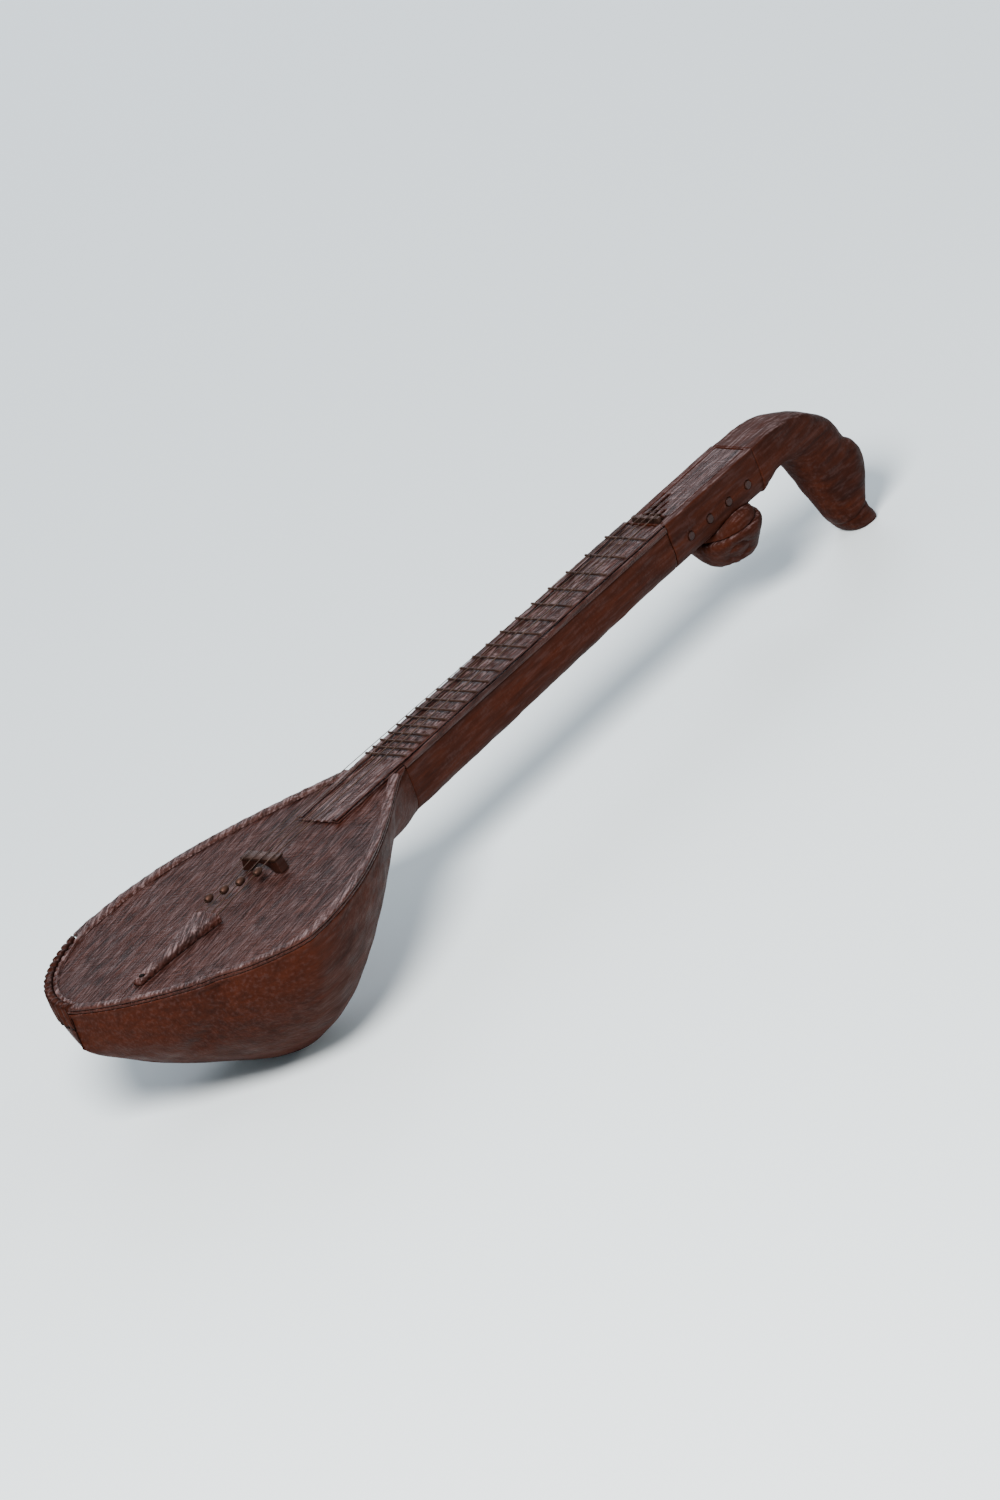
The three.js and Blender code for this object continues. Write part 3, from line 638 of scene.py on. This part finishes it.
def make_lip():
    """The fluted lip on the far side of the tail."""
    low, high = span("tail_lip")[0][2], span("tail_lip")[1][2]
    t = np.linspace(0.5, 1, 700)
    keep = edge(t, 0)[0] < LIP_END_X
    t = t[keep]
    depths = LIP_GROOVE * flutes(t)
    sections = []
    for value, groove in zip(t, depths):
        section = []
        for height in np.linspace(0, 1, 9):
            belly = 1.6 * (1 - height) ** 2
            section.append((groove + belly, low + (high - 2.4 - low) * height))
        section += [(groove + 1.2, high - 1.2 - 0.7 * groove), (groove * 0.7 + 3, high - 0.8 * groove),
                    (5.5, high - 0.7 * groove), (7.2, high - 0.8 - 0.4 * groove),
                    (LIP_WIDTH, high - 2.4), (LIP_WIDTH, low)]
        ring = []
        for inset, z in section:
            x, w = edge(np.array(value), inset)
            ring.append((x, sweep(x) + w, z))
        sections.append(ring)
    piece = loft("fluted_lip", sections)
    uneven(piece, 0.12, 9, 21)
    finish_piece(piece, WOOD_SIDE, ["tail_lip"])


def make_board():
    """The soundboard, with long shallow gouges along it."""
    piece = carved("soundboard", "carved_board", 2.0, steps=4, relief=0.0)
    points = points_of(piece)
    x, y = points[:, 0], points[:, 1]
    top = (points[:, 2] > BOARD_TOP - 1) * 1.0
    stroke = np.stack([x * 0.35, y, 0 * x], 1)
    gouges = 0.28 * (wobble(stroke, 9, 31) - 1.2)
    warp = 0.2 * (wobble(points, 40, 32) - 1)
    points[:, 2] += top * (gouges + warp)
    notch(points)
    set_points(piece, points)
    finish_piece(piece, WOOD_TOP, ["soundboard"])


# ---- neck ----
RIDGE_PITCH = 10.5  # of the long ridges down the fretboard
RIDGE_HEIGHT = 0.7


def make_neck():
    piece = carved("neck", "carved_neck", 1.9, relief=0.3, size=30, seed=41)
    finish_piece(piece, WOOD_SIDE, ["neck"])
    piece = carved("fretboard", "carved_fretboard", 1.5, steps=4, relief=0.0)
    points = points_of(piece)
    stroke = np.stack([points[:, 0] * 0.12, points[:, 1], 0 * points[:, 0]], 1)
    top = (points[:, 2] > TOP - 1) * 1.0
    ridge = np.cos(2 * math.pi * points[:, 1] / RIDGE_PITCH)
    points[:, 2] += top * (0.3 * (wobble(stroke, 4.5, 43) - 1.2) + RIDGE_HEIGHT * (ridge - 1))
    set_points(piece, points)
    finish_piece(piece, WOOD_NECK, ["fretboard"])
    for k, node in enumerate(("ledge_near", "ledge_far")):
        piece = carved(node, "carved_" + node, 1.0, steps=6, relief=0.18, size=16, seed=45 + k)
        finish_piece(piece, WOOD_NECK, [node])


def make_pegbox():
    piece = carved("pegbox", "carved_pegbox", 1.3, steps=8, relief=0.12, size=20, seed=51)
    finish_piece(piece, WOOD_SIDE, ["pegbox"])
    piece = carved("pegbox_lid", "carved_lid", 1.0, steps=4, relief=0.1, size=14, seed=52)
    finish_piece(piece, WOOD_NECK, ["pegbox_lid"], "pegbox_lid")
    piece = bevelled("lid_pin", "lid_pivot", 0.3)
    finish_piece(piece, BRONZE, ["lid_pin"])


# ---- head ----
# Slices of the curled head: a point on its back and a point on its throat side, both as x and
# height from TOP, then its half width and the roundness of its back and of its throat side.
HEAD_ROWS = [
    (446.3, 0, 446.3, -54, 28.5, 14, 4.2), (464, 0, 458, -52, 28.5, 14, 3.8),
    (484, -1, 470, -49, 28.3, 12, 3.2), (507, -4, 482, -47.5, 27.8, 9, 3.0),
    (531, -12, 492, -49, 27, 6, 2.8), (553, -25, 500, -54, 26, 4, 2.6),
    (570, -42, 506, -62, 25.5, 3, 2.5), (580, -58, 510, -71, 25, 2.6, 2.5),
    (585, -73, 513, -81, 24.5, 2.5, 2.5), (594, -82, 516, -89, 25.5, 2.5, 2.5),
    (600, -96, 519, -101, 26, 2.5, 2.5), (598.5, -111, 523, -114, 25.5, 2.4, 2.4),
    (590, -126, 527, -127, 24.5, 2.4, 2.4), (583, -140, 531, -139, 23, 2.4, 2.4),
    (581, -152, 536, -149, 22, 2.4, 2.4), (586, -163, 542, -158, 21.5, 2.4, 2.4),
    (587, -170, 548, -166, 19, 2.4, 2.4), (581, -175, 558, -172, 13, 2.2, 2.2),
]


def catmull(rows, steps):
    """Rows of numbers with steps smooth rows between each two."""
    rows = np.asarray(rows, float)
    padded = np.vstack([2 * rows[0] - rows[1], rows, 2 * rows[-1] - rows[-2]])
    out = []
    for i in range(len(rows) - 1):
        a, b, c, d = padded[i : i + 4]
        for t in np.linspace(0, 1, steps, endpoint=False):
            out.append(0.5 * (2 * b + (c - a) * t + (2 * a - 5 * b + 4 * c - d) * t**2
                              + (3 * b - a - 3 * c + d) * t**3))
    out.append(rows[-1])
    return np.array(out)


def dent(x, z, centre, size):
    """A soft round dent in the side view, 1 at its centre."""
    return np.exp(-(((x - centre[0]) / size[0]) ** 2 + ((z - centre[1]) / size[1]) ** 2))


def make_head():
    """The curled head, with a hollow cheek, a brow and the line of a mouth."""
    sides = 120
    turn = np.linspace(0, 2 * math.pi, sides, endpoint=False)
    rings = []
    for bx, bz, tx, tz, half, back, throat in catmull(HEAD_ROWS, 10):
        centre = np.array([(bx + tx) / 2, 0, TOP + (bz + tz) / 2])
        arm = np.array([(bx - tx) / 2, 0, (bz - tz) / 2])
        power = 2 / np.where(np.cos(turn) > 0, back, throat)
        along = np.sign(np.cos(turn)) * np.abs(np.cos(turn)) ** power
        wide = np.sign(np.sin(turn)) * np.abs(np.sin(turn)) ** power
        ring = centre + np.outer(along, arm)
        ring[:, 1] = half * wide
        rings.append(ring)
    piece = loft("carved_head", rings)
    points, normals = points_of(piece), normals_of(piece)
    x, z = points[:, 0], points[:, 2] - TOP
    cheek = 3.4 * dent(x, z, (545, -118), (17, 26))
    mouth_z = -152 + 0.22 * (x - 545)
    mouth = 1.6 * np.exp(-(((z - mouth_z) / 2.2) ** 2)) * smooth((x - 533) / 12)
    brow = 2.0 * dent(x, z, (574, -84), (8, 5))
    side = smooth(np.abs(normals[:, 1]) * 1.6)
    press = (cheek + brow) * side + mouth
    press += 0.35 * (1.2 - wobble(points, 22, 61)) + 0.12 * (1 - wobble(points, 7, 62))
    press *= smooth((x - 447) / 12)
    set_points(piece, points - normals * press[:, None])
    finish_piece(piece, WOOD_SIDE, ["head"])


# ---- second gourd ----
DIMPLE_DEPTH = 9
DIMPLE_RADIUS = 15
DIMPLE_PLACE = (-14, -33, -4)  # from the gourd's centre


def make_gourd():
    low, high = span("second_gourd")
    piece = carved("second_gourd", "carved_gourd", 1.3, steps=25, relief=0.3, size=18, seed=71)
    points, normals = points_of(piece), normals_of(piece)
    spot = (low + high) / 2 + np.array(DIMPLE_PLACE)
    away = np.linalg.norm((points - spot) * (1, 0.6, 1), axis=1)
    out = (normals[:, 1] < 0) * 1.0
    dimple = DIMPLE_DEPTH * np.exp(-((away / DIMPLE_RADIUS) ** 2)) * out
    set_points(piece, points - normals * dimple[:, None])
    finish_piece(piece, WOOD_SIDE, ["second_gourd"], "second_gourd")
    piece = carved("gourd_saddle", "carved_saddle", 1.1, steps=16, relief=0.15, size=14, seed=72)
    finish_piece(piece, WOOD_SIDE, ["gourd_saddle"])


# ---- pegs ----
def make_pegs():
    for k in range(1, 5):
        node = f"peg_{k}"
        piece = carved(node, f"turned_{node}", 0.75, steps=14, relief=0.06, size=10, seed=80 + k)
        finish_piece(piece, WOOD_DARK, [node], node)


# ---- frets, nut, bridge, tailpiece ----
def make_fittings():
    for node in sorted(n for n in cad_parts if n.startswith("fret_")):
        piece = bevelled(node, "bar_" + node, 0.45)
        finish_piece(piece, BRONZE, [node])
    for node, width in (("nut", 0.8), ("bridge_plate", 0.6)):
        piece = bevelled(node, "filed_" + node, width)
        finish_piece(piece, BRONZE, [node])
    piece = carved("bridge_foot", "carved_bridge", 0.8, steps=8, relief=0.08, size=9, seed=91)
    finish_piece(piece, WOOD_DARK, ["bridge_foot"])
    piece = carved("tailpiece", "carved_tailpiece", 0.8, steps=12, relief=0.15, size=10, seed=92)
    finish_piece(piece, WOOD_RIM, ["tailpiece"])
    piece = carved("tail_pin", "turned_pin", 0.5, steps=10, relief=0.03, size=6, seed=93)
    finish_piece(piece, WOOD_BLACK, ["tail_pin"])


# ---- strings and beads ----
def tube(name, path, radius, sides=12):
    """A round tube along a path of points."""
    path = np.asarray(path, float)
    along = np.gradient(path, axis=0)
    along /= np.linalg.norm(along, axis=1)[:, None]
    first = np.cross(along, (0, 1, 0))
    first /= np.linalg.norm(first, axis=1)[:, None]
    second = np.cross(along, first)
    turn = np.linspace(0, 2 * math.pi, sides, endpoint=False)
    rings = path[:, None] + radius * (first[:, None] * np.cos(turn)[None, :, None]
                                      + second[:, None] * np.sin(turn)[None, :, None])
    return loft(name, rings)


STRING_GAUGES = (0.62, 0.55, 0.45, 0.4)
TAIL_SPACING = 10
BRIDGE_SPACING = 12
NUT_SPACING = 9
PEG_SPACING = 7.2
PEG_RADIUS = 4.5
STRING_LIFT = 1.0  # of a string's middle above what it lies on
STRING_DROP = 3  # of the strings' ends below the tailpiece's top


def make_strings():
    for k, gauge in enumerate(STRING_GAUGES):
        tail_end = span("tailpiece")[1]
        nut_end = span("nut")[1]
        plate_low, plate_high = span("bridge_plate")
        peg_low, peg_high = span(f"peg_{k + 1}")
        peg_x, peg_z = (peg_low[0] + peg_high[0]) / 2, (peg_low[2] + peg_high[2]) / 2
        place = k - (len(STRING_GAUGES) - 1) / 2
        corners = np.array([
            (tail_end[0] + 0.4, place * TAIL_SPACING, tail_end[2] - STRING_DROP),
            (plate_low[0], place * BRIDGE_SPACING, plate_high[2] + STRING_LIFT),
            (nut_end[0] + 1, place * NUT_SPACING, nut_end[2] + STRING_LIFT),
            (peg_x, place * PEG_SPACING, peg_z + PEG_RADIUS + STRING_LIFT),
        ])
        path = [corners[0]]
        for a, b in zip(corners, corners[1:]):
            path += [a + (b - a) * t for t in (0.004, 0.25, 0.5, 0.75, 0.996)]
        path.append(corners[-1])
        piece = tube(f"wire_{k + 1}", path, gauge)
        finish_piece(piece, WIRE, [f"string_{k + 1}"])
        make_winding(k, peg_x, peg_z, place * PEG_SPACING - 2.4 * gauge, gauge)


def make_winding(k, peg_x, peg_z, y, gauge):
    """The string's turns on its peg, beside the string's end."""
    turns = 5
    angle = np.linspace(0, 2 * math.pi * turns, 24 * turns)
    radius = PEG_RADIUS + gauge * 0.7
    path = np.stack([peg_x + radius * np.sin(angle), y - gauge * 2.1 * angle / (2 * math.pi),
                     peg_z + radius * np.cos(angle)], 1)
    piece = tube(f"winding_{k + 1}", path, gauge, 8)
    finish_piece(piece, WIRE, (), f"peg_{k + 1}")


def make_beads():
    for k in range(1, 5):
        node = f"bead_{k}"
        piece = bevelled(node, f"turned_{node}", 0.5)
        finish_piece(piece, BRONZE, [node], node)


def dress_inside():
    """Gives the inner CAD nodes, which show as they are, their wood."""
    for node in ("upper_brace", "lower_brace", "tail_block", "neck_block", "pegbox_dowel", "head_dowel",
                 "gourd_stud"):
        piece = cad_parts[node]
        piece.data.materials.clear()
        piece.data.materials.append(RAW)


# ---- stage ----
VIEW_AZIMUTH = -40  # degrees, 0 looks along +Y
VIEW_ELEVATION = 25
VIEW_ROLL = 22.5
DISTANCE = 31.1  # metres: a long lens, so that near and far parts keep their proportions
SENSOR = 36.0
LENS = 425.0
ZOOM = 1.75  # how much closer than the base lens the frame is drawn
ANCHOR = Vector((-0.041, 0, 0.168))
ANCHOR_OFFSET = (0.215, 0.154)  # metres right of and above the base lens's axis
AIM = Vector((0.008, 0, 0.085))


def make_camera():
    azimuth, elevation, roll = map(math.radians, (VIEW_AZIMUTH, VIEW_ELEVATION, VIEW_ROLL))
    towards = Vector((math.sin(azimuth) * math.cos(elevation), -math.cos(azimuth) * math.cos(elevation),
                      math.sin(elevation)))
    level = towards.cross(Vector((0, 0, 1))).normalized() * -1
    up = towards.cross(level).normalized()
    right = level * math.cos(roll) - up * math.sin(roll)
    top = level * math.sin(roll) + up * math.cos(roll)
    place = ANCHOR - right * ANCHOR_OFFSET[0] - top * ANCHOR_OFFSET[1] + towards * DISTANCE

    # turned a little, so that the closer frame is centred on the instrument
    towards = (place - AIM).normalized()
    right = top.cross(towards).normalized()
    top = towards.cross(right)
    data = bpy.data.cameras.new("camera")
    data.sensor_fit = "VERTICAL"
    data.sensor_height = SENSOR
    data.lens = LENS * ZOOM
    data.clip_end = 500
    camera = bpy.data.objects.new("camera", data)
    basis = Matrix((right, top, towards)).transposed().to_4x4()
    camera.matrix_world = Matrix.Translation(place) @ basis
    bpy.context.scene.collection.objects.link(camera)
    bpy.context.scene.camera = camera


def make_light(name, place, target, size, power, colour):
    data = bpy.data.lights.new(name, "AREA")
    data.shape = "DISK"
    data.size = size
    data.energy = power
    data.color = colour
    lamp = bpy.data.objects.new(name, data)
    aim = (Vector(target) - Vector(place)).to_track_quat("-Z", "Y")
    lamp.matrix_world = Matrix.Translation(place) @ aim.to_matrix().to_4x4()
    bpy.context.scene.collection.objects.link(lamp)


FLOOR_RADIUS = 120000
FLOOR_SIDES = 96
FLOOR_Z = -0.3
FLOOR_TONES = [(0.3, (0.78, 0.85, 0.88)), (0.7, (0.8, 0.87, 0.9))]


def make_stage():
    turn = np.linspace(0, 2 * math.pi, FLOOR_SIDES, endpoint=False)
    rim = np.stack([FLOOR_RADIUS * np.cos(turn), FLOOR_RADIUS * np.sin(turn),
                    np.full(FLOOR_SIDES, FLOOR_Z)], 1)
    floor = mesh_object("floor", rim, [tuple(range(FLOOR_SIDES))])
    n = Nodes("floor_paint")
    soft = n.noise(0.8, (1, 1, 1), 2.0)
    n.put(n.shader.inputs["Base Color"], n.ramp(soft, FLOOR_TONES))
    n.shader.inputs["Roughness"].default_value = 0.9
    floor.data.materials.append(n.material)

    world = bpy.data.worlds.new("world")
    world.use_nodes = True
    background = world.node_tree.nodes["Background"]
    background.inputs["Color"].default_value = (0.80, 0.89, 0.95, 1)
    background.inputs["Strength"].default_value = 0.6
    bpy.context.scene.world = world

    make_light("key", (-2.4, -1.6, 3.2), (-0.1, 0, 0.1), 1.6, 400, (1.0, 0.97, 0.94))
    make_light("back", (2.6, 2.6, 2.4), (0, 0, 0.1), 2.2, 80, (0.86, 0.9, 1.0))
    make_light("side", (3.4, -2.4, 1.6), (0.1, 0, 0.1), 1.6, 40, (1.0, 0.96, 0.92))


make_camera()
make_bowl()
make_rim()
make_lip()
make_board()
make_neck()
make_pegbox()
make_head()
make_gourd()
make_pegs()
make_fittings()
make_strings()
make_beads()
dress_inside()
make_stage()
